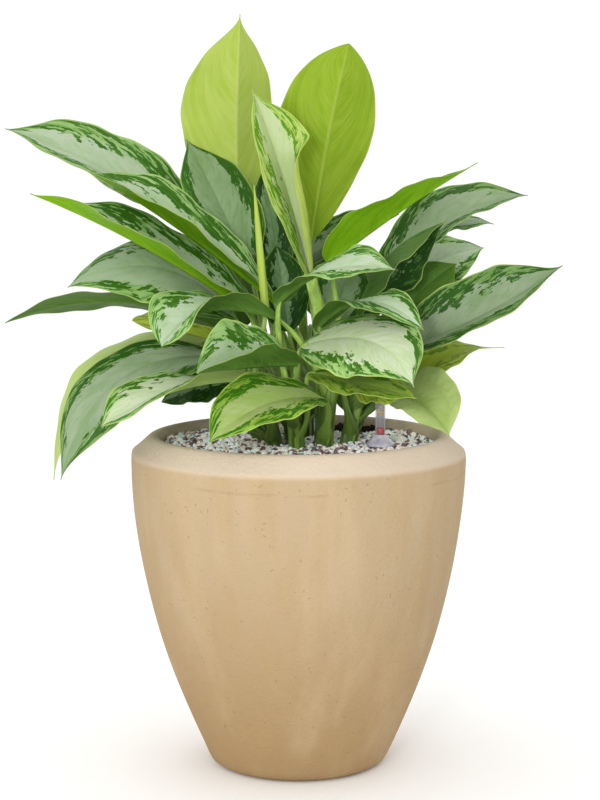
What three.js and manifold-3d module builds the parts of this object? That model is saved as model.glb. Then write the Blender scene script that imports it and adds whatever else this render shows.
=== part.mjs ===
// A chinese evergreen with silver-marked leaves, growing in a round planter.
// Millimetres, +Z up. The origin is the middle of the planter's foot, and -Y is the front.
import * as THREE from 'three';
import { mergeVertices } from 'three/addons/utils/BufferGeometryUtils.js';
import Module from 'manifold-3d';

const wasm = await Module();
wasm.setup();

// Planter: a belly that swells up to the edge, a bevel above it and a rolled lip.
const potHeight = 404;
const footRadius = 92;
const bellyRadius = 202.5;
const bellyTop = 378;
const bellySpread = 97;
const bellyPower = 1.87;
const lipOuter = 180;
const lipCrown = 174;
const lipInner = 167;
const potWall = 14;
const potFloor = 16;
const potSides = 32;

// What fills it: the soil round the roots, and mineral grains round and over that soil.
const fillTop = 390.5;
const grainRelief = 2.2;
const wallGap = 1.5;
const grainRings = 5;
const grainSides = 28;
const ballRadius = 122;
const ballCentre = [14, 18];
const ballFoot = 97.6;
const ballFlare = 60;
const ballSides = 24;
const ballBottom = 150;
const ballTop = 378;
const barePatch = { centre: [76, 118], radius: 34, depth: 17.5 };
const seatGap = 0.3;

// Water level gauge: a clear tube deep in the grains, a float rod in it and a collar on top of them.
const gaugeAt = [98, -32];
const tubeOuter = 6;
const tubeInner = 4.4;
const tubeBottom = 60;
const tubeTop = 448;
const rodRadius = 1.6;
const floatRadius = 3.8;
const floatLength = 60;
const rodTop = 407;
const rodHead = 8;
const collarFoot = 15.5;
const collarTop = 8;
const collarHeight = 15.5;
const collarBottom = 393.2;

// Canes: foot on the soil, top, and radius. They stand 40 mm deep in plain holes.
const caneDepth = 40;
const caneSides = 8;
const canes = {
  A: { foot: [-24, -16], top: [-46, -30, 455], radius: 8 },
  B: { foot: [0, -34], top: [-6, -50, 455], radius: 8.5 },
  C: { foot: [30, -24], top: [36, -36, 455], radius: 9 },
  D: { foot: [58, -2], top: [72, -4, 455], radius: 8.5 },
  E: { foot: [28, 18], top: [32, 28, 490], radius: 9 },
  F: { foot: [-6, 16], top: [-18, 30, 480], radius: 9 },
  G: { foot: [10, 56], top: [6, 84, 465], radius: 8 },
  H: { foot: [58, 34], top: [86, 46, 460], radius: 8 },
  I: { foot: [-38, 16], top: [-66, 24, 450], radius: 8 },
};

// Leaves: the length is split in steps, each half blade in two strips.
const bladeSteps = 8;
const stripsPerHalf = 2;
const bladeThickness = 1.2;
const waveTurns = 14.5;
const waveSplit = 1.1;
const rollInPower = 8;
const ribDepth = 1.8;
const tipHalfWidth = 0.8;
const petioleFoot = 4.6;
const petioleEnd = 2.4;
const petioleSteps = 5;
const petioleSides = 5;
const petioleSink = 0.05;
const petioleRise = 0.45;
const petioleSeat = 0.55;
const spindleStart = 0.35;
const spindleTip = 0.6;

// Each leaf grows from a cane at a joint, from 0 at the soil to 1 at the top, and leaves it with a
// lean that is larger lower down. Its midrib runs from the blade's base to the tip over an arch, with
// a sway to one side and a lead along it. The blade turns about the midrib by roll, from base to tip,
// its halves lift by fold and curve by curl, and over rolls one half in from the base as far as overEnd.
// Angles are in degrees. Turn moves the foot round its cane, and reach says how far the petiole bends
// before the blade. With ease above 1 the blade turns more near the tip. Peak moves the widest place
// towards the tip, point draws the tip out, and wave is how far the margins wave.
const usual = {
  sway: 0, lead: 0, point: 0.8, peak: 0.93, ease: 1, wave: 3, over: 0, overEnd: 0.6, turn: 0, reach: 0.35,
  colour: 'silver',
};

function leaf(cane, joint, base, tip, form) {
  return { ...usual, lean: 1.1 - joint, cane, joint, base, tip, ...form };
}

const leaves = [
  // young upright leaves, which show their lime undersides
  leaf('F', 0.95, [-75, 60, 670], [-70, 35, 906], {
    turn: -60, arch: 6, sway: -2, width: 135, roll: [30, 30], fold: 28, curl: 10, heading: 270, point: 1.1,
    colour: 'lime' }),
  leaf('E', 0.95, [15, 30, 635], [60, 10, 870], {
    arch: 8, sway: -3, width: 128, roll: [14, 10], fold: 26, curl: 10, heading: 270, peak: 1.3, point: 0.2,
    colour: 'lime' }),
  leaf('C', 0.95, [16, -10, 588], [-55, 10, 815], {
    turn: -20, arch: 8, sway: -4, width: 100, roll: [35, 30], fold: 41, curl: 20, over: 160, overEnd: 0.7,
    heading: 90, peak: 1.2, point: 0.9 }),
  // the left side, from the top down
  leaf('F', 0.75, [-116, 35, 645], [-350, 10, 770], {
    turn: -30, arch: 12, width: 131, roll: [-30, -30], fold: 22, curl: 10 }),
  leaf('A', 0.9, [-24, -14, 561], [-244, -58, 720], {
    turn: 60, arch: 6, width: 107, roll: [-22, -20], fold: 40, curl: 20, peak: 1.25 }),
  leaf('A', 0.7, [-54, -38, 550], [-308, -92, 695], {
    turn: -30, arch: 10, width: 112, roll: [-18, 60], ease: 7, fold: 36, curl: 20, point: 1, peak: 0.8 }),
  leaf('A', 0.5, [-75, -10, 545], [-270, -60, 585], {
    turn: -20, arch: 42, width: 116, roll: [-42, -34], fold: 6, curl: 30, point: 0.6 }),
  leaf('I', 0.8, [-70, 0, 520], [-350, -20, 540], {
    arch: 34, width: 84, roll: [20, 20], fold: 14, curl: 20, point: 0.3 }),
  leaf('I', 0.6, [-73, 60, 502], [-208, 95, 533], {
    turn: -40, arch: 4, width: 96, roll: [30, 30], fold: 10, curl: 20, point: 0.1, colour: 'lime' }),
  leaf('C', 0.9, [-18, -62, 546], [-155, -140, 523], {
    reach: 0.15, arch: 30, width: 94, roll: [30, -40], ease: 1.2, fold: 40, curl: 20, point: 0.3, lead: 0.2,
    peak: 1.6 }),
  leaf('B', 0.5, [5, -72, 496], [-114, -172, 496], {
    turn: -50, reach: 0.1, arch: 2, width: 113, roll: [-14, -30], fold: 64, curl: 20, point: 0.2,
    peak: 1.45 }),
  leaf('A', 0.3, [-95, -20, 500], [-276, -105, 364], {
    arch: 52, width: 86, roll: [-42, -40], fold: 10, curl: 30 }),
  leaf('I', 0.4, [-100, 20, 510], [-295, -20, 350], {
    turn: 50, arch: 66, width: 84, roll: [-30, -20], fold: 10, curl: 30, point: 1.2, colour: 'lime' }),
  leaf('A', 0.25, [-26, -60, 474], [-223, -158, 434], {
    reach: 0.15, arch: 20, width: 86, roll: [34, -34], ease: 1.2, fold: 32, curl: 20, point: 0.5, peak: 1.7 }),
  leaf('C', 0.3, [30, -80, 456], [-99, -199, 422], {
    arch: 18, width: 96, roll: [-24, -24], fold: 24, curl: 20, point: 0.5 }),
  leaf('I', 0.27, [-62, 40, 466], [-170, 62, 434], {
    turn: 50, reach: 0.1, arch: 10, width: 62, roll: [-40, -40], fold: 5, curl: 20, point: 0.2 }),
  // the right side
  leaf('B', 0.7, [2, -62, 515], [130, -170, 480], {
    turn: 10, arch: 34, width: 118, roll: [38, 26], fold: 8, curl: 30, lead: 0.16, point: 1 }),
  leaf('B', 0.35, [14, -66, 485], [134, -148, 465], {
    turn: 50, arch: 2, width: 80, roll: [12, 12], fold: 12, curl: 20 }),
  leaf('D', 0.3, [62, -46, 468], [123, -62, 455], {
    arch: 0, width: 74, roll: [18, 22], fold: 10, curl: 10, point: 0.5, colour: 'lime' }),
  leaf('D', 0.5, [112, 6, 448], [180, -45, 407], {
    arch: 14, width: 96, roll: [32, 32], fold: 40, curl: 20, colour: 'lime' }),
  leaf('D', 0.7, [110, -20, 505], [310, -50, 610], {
    turn: -20, arch: -10, width: 106, roll: [42, 42], fold: 36, curl: 12 }),
  leaf('H', 0.45, [105, 32, 445], [253, 44, 504], {
    turn: -30, arch: 18, width: 84, roll: [50, -7], fold: 10, curl: 10, point: 3, peak: 0.75,
    colour: 'lime' }),
  leaf('H', 0.8, [112, 100, 562], [234, 128, 622], {
    turn: 50, arch: 12, width: 98, roll: [38, 38], fold: 10, curl: 20, point: 0.6 }),
  leaf('C', 0.8, [35, -20, 610], [210, -40, 730], {
    turn: -70, reach: 0.1, arch: 4, width: 80, roll: [-22, 10], fold: 38, curl: 10, peak: 0.6, point: 2 }),
  leaf('D', 0.95, [102, 45, 573], [279, 45, 690], {
    arch: 28, width: 104, roll: [30, 28], fold: 26, curl: 12 }),
  leaf('H', 0.95, [126, 70, 609], [241, 75, 654], {
    turn: 20, arch: 20, width: 52, roll: [20, 20], fold: 10, curl: 20, point: 0.5 }),
  leaf('D', 0.85, [70, -6, 539], [176, -26, 660], {
    turn: -60, arch: 24, width: 110, roll: [165, 165], fold: 42, curl: 10, point: 1 }),
  leaf('B', 0.95, [-25, -81, 567], [109, -150, 611], {
    turn: -45, reach: 0.1, arch: 20, width: 84, roll: [-34, 38], ease: 0.45, fold: 20, curl: 20 }),
  leaf('C', 0.7, [20, -40, 533], [144, -142, 540], {
    turn: 90, reach: 0.1, arch: 34, width: 68, roll: [-16, 34], fold: 18, curl: 20 }),
  // the middle, behind the others
  leaf('F', 0.85, [-60, 25, 600], [-136, 45, 757], {
    turn: 25, lean: 0.4, arch: 6, width: 102, roll: [8, 16], fold: 18, curl: 20, heading: 110 }),
  leaf('E', 0.7, [-22, 52, 580], [-42, 66, 726], {
    arch: 6, width: 50, roll: [0, 0], fold: 15, curl: 20, heading: 90, point: 0.6 }),
  leaf('E', 0.5, [-35, 70, 575], [126, 115, 665], {
    reach: 0.2, arch: 0, width: 88, roll: [22, 22], fold: 58, curl: 12 }),
  leaf('F', 0.5, [-12, 26, 525], [-27, 36, 630], {
    turn: -70, arch: 6, width: 66, roll: [10, 10], fold: 20, curl: 20, heading: 90, point: 0.6 }),
  leaf('E', 0.8, [40, 8, 526], [65, 38, 616], {
    arch: 6, width: 70, roll: [0, 0], fold: 15, curl: 20, heading: 90, point: 0.6 }),
  leaf('H', 0.6, [119, 35, 536], [194, 55, 606], {
    arch: 6, width: 76, roll: [40, 40], fold: 15, curl: 20, point: 0.6 }),
  // the back
  leaf('G', 0.9, [12, 150, 650], [20, 250, 520], { arch: 26, width: 112, roll: [0, 0], fold: 15, curl: 20 }),
  leaf('G', 0.7, [-70, 130, 615], [-90, 230, 490], { arch: 26, width: 110, roll: [0, 0], fold: 15, curl: 20 }),
  leaf('G', 0.6, [95, 130, 605], [145, 225, 490], { arch: 26, width: 104, roll: [0, 0], fold: 15, curl: 20 }),
  leaf('F', 0.3, [-72, 100, 470], [-205, 165, 440], { arch: 26, width: 90, roll: [0, 0], fold: 15, curl: 20 }),
  leaf('G', 0.44, [16, 125, 525], [14, 205, 400], {
    turn: 15, arch: 26, width: 90, roll: [0, 0], fold: 15, curl: 20, point: 0.2, peak: 1.5 }),
  leaf('G', 0.35, [60, 105, 480], [80, 204, 392], {
    arch: 28, width: 84, roll: [0, 0], fold: 15, curl: 20, point: 0.2, peak: 1.6 }),
  leaf('G', 0.25, [-45, 112, 478], [-80, 204, 380], { arch: 22, width: 80, roll: [0, 0], fold: 15, curl: 20 }),
];

// The youngest leaf, still rolled up in a spindle.
const furled = {
  cane: 'A', joint: 0.98, lean: 0, turn: 0, reach: 0.35, base: [-38, -49, 552], tip: [-52, -44, 704],
  radius: 5.5, steps: 10, colour: 'lime',
};

const vector = (p) => new THREE.Vector3(p[0], p[1], p[2]);

// A closed mesh from rings of points: neighbours are joined, and both ends are closed by a fan.
function ringsToGeometry(rings, capStart, capEnd) {
  const positions = [];
  const indices = [];
  const sides = rings[0].length;
  for (const ring of rings) {
    for (const p of ring) positions.push(p.x, p.y, p.z);
  }
  for (let i = 0; i < rings.length - 1; i += 1) {
    for (let j = 0; j < sides; j += 1) {
      const k = (j + 1) % sides;
      const a = i * sides + j;
      const b = i * sides + k;
      const c = (i + 1) * sides + k;
      const d = (i + 1) * sides + j;
      indices.push(a, b, c, a, c, d);
    }
  }
  const start = positions.length / 3;
  positions.push(capStart.x, capStart.y, capStart.z, capEnd.x, capEnd.y, capEnd.z);
  const last = (rings.length - 1) * sides;
  for (let j = 0; j < sides; j += 1) {
    const k = (j + 1) % sides;
    indices.push(start, k, j, start + 1, last + j, last + k);
  }
  const geometry = new THREE.BufferGeometry();
  geometry.setAttribute('position', new THREE.Float32BufferAttribute(positions, 3));
  geometry.setIndex(indices);
  return geometry;
}

// A round tube along a path, with a radius for every point of it.
function tubeAlong(points, radii, sides) {
  const rings = [];
  let across = new THREE.Vector3(0.31, 0.95, 0.05);
  points.forEach((p, i) => {
    const before = points[Math.max(i - 1, 0)];
    const after = points[Math.min(i + 1, points.length - 1)];
    const along = after.clone().sub(before).normalize();
    across = across.clone().addScaledVector(along, -across.dot(along)).normalize();
    const other = along.clone().cross(across);
    const ring = [];
    for (let j = 0; j < sides; j += 1) {
      const angle = (2 * Math.PI * j) / sides;
      ring.push(p.clone().addScaledVector(across, radii[i] * Math.cos(angle))
        .addScaledVector(other, radii[i] * Math.sin(angle)));
    }
    rings.push(ring);
  });
  return ringsToGeometry(rings, points[0], points[points.length - 1]);
}

function toSolid(geometry) {
  const plain = geometry.clone();
  plain.deleteAttribute('normal');
  plain.deleteAttribute('uv');
  const merged = mergeVertices(plain, 1e-4);
  return new wasm.Manifold(new wasm.Mesh({
    numProp: 3,
    vertProperties: new Float32Array(merged.attributes.position.array),
    triVerts: new Uint32Array(merged.index.array),
  }));
}

function toGeometry(solid) {
  const mesh = solid.getMesh();
  const geometry = new THREE.BufferGeometry();
  geometry.setAttribute('position', new THREE.Float32BufferAttribute(mesh.vertProperties, 3));
  geometry.setIndex(Array.from(mesh.triVerts));
  return geometry;
}

// Turns a profile of [radius, height] pairs about the Z axis.
function turned(profile, sides, centre = [0, 0]) {
  const points = profile.map(([r, z]) => new THREE.Vector2(r, z));
  const geometry = new THREE.LatheGeometry(points, sides);
  geometry.rotateX(Math.PI / 2);
  geometry.translate(centre[0], centre[1], 0);
  return geometry;
}

// The belly's outer radius at a height: it widens quickly from the foot and stands upright at the top.
function bellyAt(z) {
  const below = Math.max(bellyTop - 3 - z, 0) / (bellyTop - 3);
  return bellyRadius - bellySpread * below ** bellyPower;
}

function potProfile() {
  const outside = [[0, 0], [footRadius, 0], [bellyAt(0) - 2, 6]];
  const heights = [35, 75, 125, 185, 250, 315, bellyTop];
  for (const z of heights) outside.push([bellyAt(z), z]);
  const rim = [[bellyRadius - 0.5, bellyTop + 6], [lipOuter, potHeight - 2], [lipCrown, potHeight],
    [lipInner + 2, potHeight - 4], [lipInner, potHeight - 19]];
  const inside = [[bellyAt(bellyTop) - potWall, bellyTop - 30]];
  for (const z of [220, 85]) inside.push([bellyAt(z) - potWall, z]);
  inside.push([bellyAt(potFloor) - potWall, potFloor], [0, potFloor]);
  return [...outside, ...rim, ...inside];
}

// Where the gauge's tube stands, as a tool that cuts its hole in the soil and the grains.
function tubeHole() {
  const radius = tubeOuter + seatGap;
  return toSolid(turned([[0, 0], [radius, 0], [radius, fillTop + 9], [0, fillTop + 9]], 16, gaugeAt));
}

// The grains fill the planter up to the lip. Their top is a fan of small bumps, uneven in height.
function grainBody() {
  const rings = [];
  const bump = (ring, j) => grainRelief * Math.sin(7.3 * ring + 4.1 * j) * Math.cos(3.7 * j - 2.9 * ring);
  const at = (r, z, bumps, ring) => {
    const points = [];
    for (let j = 0; j < grainSides; j += 1) {
      const angle = (2 * Math.PI * (j + (ring % 2) / 2)) / grainSides;
      const lift = bumps ? bump(ring, j) : 0;
      points.push(new THREE.Vector3(r * Math.cos(angle), r * Math.sin(angle), z + lift));
    }
    return points;
  };
  const wall = (z) => bellyAt(z) - potWall - seatGap - wallGap;
  rings.push(at(wall(potFloor), potFloor + seatGap, false, 0));
  for (const z of [85, 220, 345]) rings.push(at(wall(z), z, false, 0));
  rings.push(at(lipInner - 2.5, fillTop - 4, false, 0));
  for (let i = 0; i < grainRings; i += 1) {
    rings.push(at((lipInner - 4) * (1 - i / grainRings), fillTop, true, i));
  }
  const floor = new THREE.Vector3(0, 0, potFloor + seatGap);
  const crown = new THREE.Vector3(0, 0, fillTop);
  const body = toSolid(ringsToGeometry(rings, floor, crown));
  const ball = turned([[0, ballBottom], [ballFoot, ballBottom], [ballRadius + seatGap, ballBottom + ballFlare],
    [ballRadius + seatGap, ballTop + seatGap], [0, ballTop + seatGap]], ballSides, ballCentre);
  const patchFloor = fillTop - barePatch.depth;
  const patch = turned([[0, patchFloor], [barePatch.radius, patchFloor], [barePatch.radius + 4, fillTop + 9],
    [0, fillTop + 9]], 14, barePatch.centre);
  return body.subtract(toSolid(ball)).subtract(toSolid(patch)).subtract(tubeHole());
}

function ballBody() {
  const profile = [[0, ballBottom + seatGap], [ballFoot - seatGap, ballBottom + seatGap],
    [ballRadius, ballBottom + ballFlare], [ballRadius, ballTop - 2], [ballRadius - 4, ballTop], [0, ballTop]];
  return toSolid(turned(profile, ballSides, ballCentre)).subtract(tubeHole());
}

// A cane's axis runs straight from its foot at the soil's top to its own top.
function caneAxis(cane) {
  const foot = new THREE.Vector3(cane.foot[0], cane.foot[1], ballTop);
  const top = vector(cane.top);
  return { foot, top, along: top.clone().sub(foot).normalize() };
}

function caneSolid(cane, grow) {
  const { foot, top, along } = caneAxis(cane);
  const down = foot.clone().addScaledVector(along, -caneDepth - grow);
  const up = top.clone().addScaledVector(along, grow);
  const middle = foot.clone().lerp(top, 0.5);
  const wide = cane.radius + grow;
  return tubeAlong([down, middle, up], [wide, wide, wide - 1.5], caneSides);
}

// Half width of a blade along its length, from 0 to 1: rounded at the base, drawn out at the tip.
function outline(u, point, peak) {
  const drop = 0.6 + point * u ** 6;
  return Math.sin(Math.PI * Math.min(u ** peak, 1)) ** drop;
}

// The midrib's place and directions at u: along it, across the blade, and out of its upper side.
function midrib(form, u) {
  const base = vector(form.base);
  const tip = vector(form.tip);
  const chord = tip.clone().sub(base);
  let heading = Math.atan2(chord.y, chord.x);
  if (form.heading !== undefined) heading = THREE.MathUtils.degToRad(form.heading);
  const level = new THREE.Vector3(-Math.sin(heading), Math.cos(heading), 0);
  const ahead = chord.clone().normalize();
  const aside = level.clone().addScaledVector(ahead, -level.dot(ahead)).normalize();
  const up = ahead.clone().cross(aside);
  const knee = base.clone().add(tip).multiplyScalar(0.5).addScaledVector(up, 2 * form.arch)
    .addScaledVector(aside, 2 * form.sway).addScaledVector(chord, form.lead);
  const curve = new THREE.QuadraticBezierCurve3(base, knee, tip);
  const along = curve.getTangent(u);
  const across = level.clone().addScaledVector(along, -level.dot(along)).normalize();
  return { place: curve.getPoint(u), along, across, out: along.clone().cross(across) };
}

// A point of the blade's middle surface, at v from -1 to 1 across it.
function bladePoint(form, u, v, number) {
  const { place, across, out } = midrib(form, u);
  const roll = THREE.MathUtils.degToRad(form.roll[0] + (form.roll[1] - form.roll[0]) * u ** form.ease);
  const side = across.clone().multiplyScalar(Math.cos(roll)).addScaledVector(out, Math.sin(roll));
  const face = out.clone().multiplyScalar(Math.cos(roll)).addScaledVector(across, -Math.sin(roll));
  const over = v < 0 ? form.over * Math.max(1 - (u / form.overEnd) ** rollInPower, 0) : 0;
  const fold = THREE.MathUtils.degToRad(form.fold);
  const curl = THREE.MathUtils.degToRad(form.curl - over) + 1e-6;
  const reach = Math.abs(v);
  const wide = ((Math.sin(fold) - Math.sin(fold - curl * reach)) / curl) * Math.sign(v);
  let rise = (Math.cos(fold - curl * reach) - Math.cos(fold)) / curl;
  const wave = Math.sin(waveTurns * u + waveSplit * Math.sign(v) + number);
  rise += (form.wave / form.width) * 2 * reach ** 2 * wave;
  const half = Math.max((outline(u, form.point, form.peak) * form.width) / 2, tipHalfWidth);
  return place.addScaledVector(side, half * wide).addScaledVector(face, half * rise);
}

// The blade is one thin closed shell, with the midrib standing out below. Both faces have the same
// triangles.
function bladeSolid(form, number) {
  const strips = 2 * stripsPerHalf;
  const grid = [];
  for (let i = 0; i <= bladeSteps; i += 1) {
    const row = [];
    for (let j = 0; j <= strips; j += 1) {
      row.push(bladePoint(form, i / bladeSteps, (2 * j) / strips - 1, number));
    }
    grid.push(row);
  }
  const top = [];
  const bottom = [];
  for (let i = 0; i <= bladeSteps; i += 1) {
    for (let j = 0; j <= strips; j += 1) {
      const along = grid[Math.min(i + 1, bladeSteps)][j].clone().sub(grid[Math.max(i - 1, 0)][j]);
      const across = grid[i][Math.min(j + 1, strips)].clone().sub(grid[i][Math.max(j - 1, 0)]);
      const normal = along.cross(across).normalize();
      const rib = j === stripsPerHalf ? ribDepth * (1 - (0.8 * i) / bladeSteps) : 0;
      top.push(grid[i][j].clone().addScaledVector(normal, bladeThickness / 2));
      bottom.push(grid[i][j].clone().addScaledVector(normal, -bladeThickness / 2 - rib));
    }
  }
  const positions = [];
  for (const p of [...top, ...bottom]) positions.push(p.x, p.y, p.z);
  const count = top.length;
  const indices = [];
  const at = (i, j) => i * (strips + 1) + j;
  for (let i = 0; i < bladeSteps; i += 1) {
    for (let j = 0; j < strips; j += 1) {
      const [a, b, c, d] = [at(i, j), at(i + 1, j), at(i + 1, j + 1), at(i, j + 1)];
      indices.push(a, b, c, a, c, d);
      indices.push(count + a, count + c, count + b, count + a, count + d, count + c);
    }
  }
  const edge = [];
  for (let i = 0; i < bladeSteps; i += 1) edge.push(at(i, 0));
  for (let j = 0; j < strips; j += 1) edge.push(at(bladeSteps, j));
  for (let i = bladeSteps; i > 0; i -= 1) edge.push(at(i, strips));
  for (let j = strips; j > 0; j -= 1) edge.push(at(0, j));
  edge.forEach((a, k) => {
    const b = edge[(k + 1) % edge.length];
    indices.push(a, count + a, count + b, a, count + b, b);
  });
  const geometry = new THREE.BufferGeometry();
  geometry.setAttribute('position', new THREE.Float32BufferAttribute(positions, 3));
  geometry.setIndex(indices);
  return toSolid(geometry);
}

// The petiole leaves its cane at the joint and bends over to the blade's base.
function petioleSolid(reach, start, end, leaving, arriving) {
  const length = start.distanceTo(end);
  const bend = new THREE.CubicBezierCurve3(start, start.clone().addScaledVector(leaving, petioleRise * length),
    end.clone().addScaledVector(arriving, -reach * length), end);
  const points = bend.getPoints(petioleSteps);
  const radii = points.map((p, i) => petioleFoot + ((petioleEnd - petioleFoot) * i) / petioleSteps);
  return toSolid(tubeAlong(points, radii, petioleSides));
}

function leafSolid(form, number) {
  const cane = canes[form.cane];
  const { foot, top, along } = caneAxis(cane);
  const start = foot.clone().lerp(top, form.joint);
  const outward = vector(form.base).sub(start).setZ(0).normalize();
  outward.addScaledVector(along, -outward.dot(along)).normalize();
  outward.applyAxisAngle(along, THREE.MathUtils.degToRad(form.turn));
  start.addScaledVector(outward, cane.radius * petioleSeat);
  const leaving = along.clone().addScaledVector(outward, form.lean).normalize();
  let body;
  if (form.radius) {
    const tip = vector(form.tip);
    const base = vector(form.base);
    const points = [];
    const radii = [];
    for (let i = 0; i <= form.steps; i += 1) {
      const u = i / form.steps;
      points.push(base.clone().lerp(tip, u));
      const swell = Math.sin(Math.PI * (spindleStart + (1 - spindleStart) * u));
      radii.push(spindleTip + (form.radius - spindleTip) * swell);
    }
    body = toSolid(tubeAlong(points, radii, petioleSides))
      .add(petioleSolid(form.reach, start, points[1], leaving, tip.clone().sub(base).normalize()));
  } else {
    const root = midrib(form, petioleSink);
    body = bladeSolid(form, number).add(petioleSolid(form.reach, start, root.place, leaving, root.along));
  }
  return body.subtract(toSolid(caneSolid(cane, seatGap)));
}

function material(colour, roughness, metalness = 0) {
  return new THREE.MeshStandardMaterial({ color: colour, roughness, metalness });
}

const finishes = {
  clay: material(0xcbb48e, 0.85),
  grains: material(0xcfc8bd, 0.9),
  soil: material(0x33281e, 0.95),
  clear: material(0xe6ebee, 0.15),
  red: material(0xc23a22, 0.4),
  cane: material(0x5f7d32, 0.6),
  silver: material(0x8fae7c, 0.45),
  lime: material(0xa3bd3c, 0.45),
};

const plant = new THREE.Group();

function place(name, geometry, finish) {
  const mesh = new THREE.Mesh(geometry, finish.clone());
  mesh.name = name;
  plant.add(mesh);
}

let grains = grainBody();
let ball = ballBody();
for (const cane of Object.values(canes)) {
  const hole = toSolid(caneSolid(cane, seatGap));
  grains = grains.subtract(hole);
  ball = ball.subtract(hole);
}

place('pot', turned(potProfile(), potSides), finishes.clay);
place('granulate', toGeometry(grains), finishes.grains);
place('root_ball', toGeometry(ball), finishes.soil);

place('gauge_tube', turned([[tubeInner, tubeBottom], [tubeOuter, tubeBottom], [tubeOuter, tubeTop],
  [tubeInner, tubeTop], [tubeInner, tubeBottom]], 16, gaugeAt), finishes.clear);
place('gauge_float', turned([[0, tubeBottom + 2], [floatRadius, tubeBottom + 2],
  [floatRadius, tubeBottom + floatLength], [rodRadius, tubeBottom + floatLength + 4], [rodRadius, rodTop],
  [floatRadius, rodTop + 1], [floatRadius, rodTop + rodHead - 1], [0, rodTop + rodHead]], 10, gaugeAt),
finishes.red);
place('gauge_collar', turned([[tubeOuter + seatGap, collarBottom], [collarFoot, collarBottom],
  [collarFoot, collarBottom + 1.5], [collarTop, collarBottom + collarHeight],
  [tubeOuter + seatGap, collarBottom + collarHeight], [tubeOuter + seatGap, collarBottom]], 16, gaugeAt),
finishes.clear);

for (const [letter, cane] of Object.entries(canes)) {
  place(`cane_${letter}`, caneSolid(cane, 0), finishes.cane);
}

[...leaves, furled].forEach((form, i) => {
  const number = i + 1;
  const name = `leaf_${String(number).padStart(2, '0')}`;
  place(name, toGeometry(leafSolid(form, number)), finishes[form.colour]);
});

export default plant;
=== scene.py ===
import bpy
import numpy as np
from math import pi, radians
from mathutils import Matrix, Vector


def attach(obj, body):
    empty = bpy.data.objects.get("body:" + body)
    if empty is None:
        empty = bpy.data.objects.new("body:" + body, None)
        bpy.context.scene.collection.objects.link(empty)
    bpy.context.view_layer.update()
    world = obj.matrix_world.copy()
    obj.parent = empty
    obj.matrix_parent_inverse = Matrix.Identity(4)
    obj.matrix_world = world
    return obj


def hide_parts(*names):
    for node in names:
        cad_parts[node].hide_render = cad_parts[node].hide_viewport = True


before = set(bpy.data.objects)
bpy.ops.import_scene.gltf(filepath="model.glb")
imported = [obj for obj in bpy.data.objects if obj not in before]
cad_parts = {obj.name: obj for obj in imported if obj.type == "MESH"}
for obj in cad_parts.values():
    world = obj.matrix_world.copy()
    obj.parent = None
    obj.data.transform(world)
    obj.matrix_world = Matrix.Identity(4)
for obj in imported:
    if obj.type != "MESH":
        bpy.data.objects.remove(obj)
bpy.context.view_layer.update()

mm = 0.001
print("frame loaded:", len(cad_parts), "nodes")


# helpers for colours and node materials

def tone(r, g, b):
    # a colour read off as 0..255 becomes the linear value that shaders take
    c = np.array([r, g, b]) / 255
    lin = np.where(c <= 0.04045, c / 12.92, ((c + 0.055) / 1.055) ** 2.4)
    return (*[float(x) for x in lin], 1.0)


class Graph:
    # a thin wrapper: adds nodes to one material and links them in the same call
    def __init__(self, name):
        self.mat = bpy.data.materials.new(name)
        self.mat.use_nodes = True
        self.tree = self.mat.node_tree
        self.shader = self.tree.nodes["Principled BSDF"]

    def plug(self, socket, value):
        if isinstance(value, bpy.types.NodeSocket):
            self.tree.links.new(value, socket)
        elif value is not None:
            socket.default_value = value

    def add(self, kind, inputs=None, out=0, **settings):
        node = self.tree.nodes.new("ShaderNode" + kind)
        for key, value in settings.items():
            setattr(node, key, value)
        for key, value in (inputs or {}).items():
            self.plug(node.inputs[key], value)
        return node.outputs[out]

    def calc(self, operation, a, b=None, c=None):
        inputs = {i: x for i, x in enumerate((a, b, c)) if x is not None}
        return self.add("Math", inputs, operation=operation)

    def times(self, a, b):
        return self.calc("MULTIPLY", a, b)

    def plus(self, a, b):
        return self.calc("ADD", a, b)

    def minus(self, a, b):
        return self.calc("SUBTRACT", a, b)

    def place(self, squeeze=None):
        # the object's own coordinates; squeeze draws a pattern out upright
        at = self.add("TexCoord", out=3)
        return at if squeeze is None else self.add("Mapping", {"Vector": at, "Scale": (1, 1, squeeze)})

    def part(self, vector, axis):
        return self.add("SeparateXYZ", {0: vector}, axis)

    def value(self, name):
        return self.add("Attribute", {}, 2, attribute_name=name)

    def step(self, value, low, high, toLow=0.0, toHigh=1.0):
        # a smooth rise of value from low to high
        return self.add("MapRange", {"Value": value, "From Min": low, "From Max": high, "To Min": toLow,
                                     "To Max": toHigh}, interpolation_type="SMOOTHSTEP")

    def mix(self, factor, a, b, blend="MIX"):
        node = self.tree.nodes.new("ShaderNodeMix")
        node.data_type = "RGBA"
        node.blend_type = blend
        self.plug(node.inputs[0], factor)
        self.plug(node.inputs[6], a)
        self.plug(node.inputs[7], b)
        return node.outputs[2]

    def noise(self, vector, scale, detail=2.0, rough=0.5, out=0):
        return self.add("TexNoise", {"Vector": vector, "Scale": scale, "Detail": detail, "Roughness": rough}, out)

    def vector(self, x, y, z):
        return self.add("CombineXYZ", {0: x, 1: y, 2: z})

    def finish(self, colour, roughness, height=None, depth=0.0003, strength=1.0, **fixed):
        self.plug(self.shader.inputs["Base Color"], colour)
        self.plug(self.shader.inputs["Roughness"], roughness)
        for key, value in fixed.items():
            self.shader.inputs[key.replace("_", " ")].default_value = value
        if height is not None:
            bump = self.add("Bump", {"Height": height, "Distance": depth, "Strength": strength})
            self.tree.links.new(bump, self.shader.inputs["Normal"])
        return self.mat


# helpers for meshes

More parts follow.
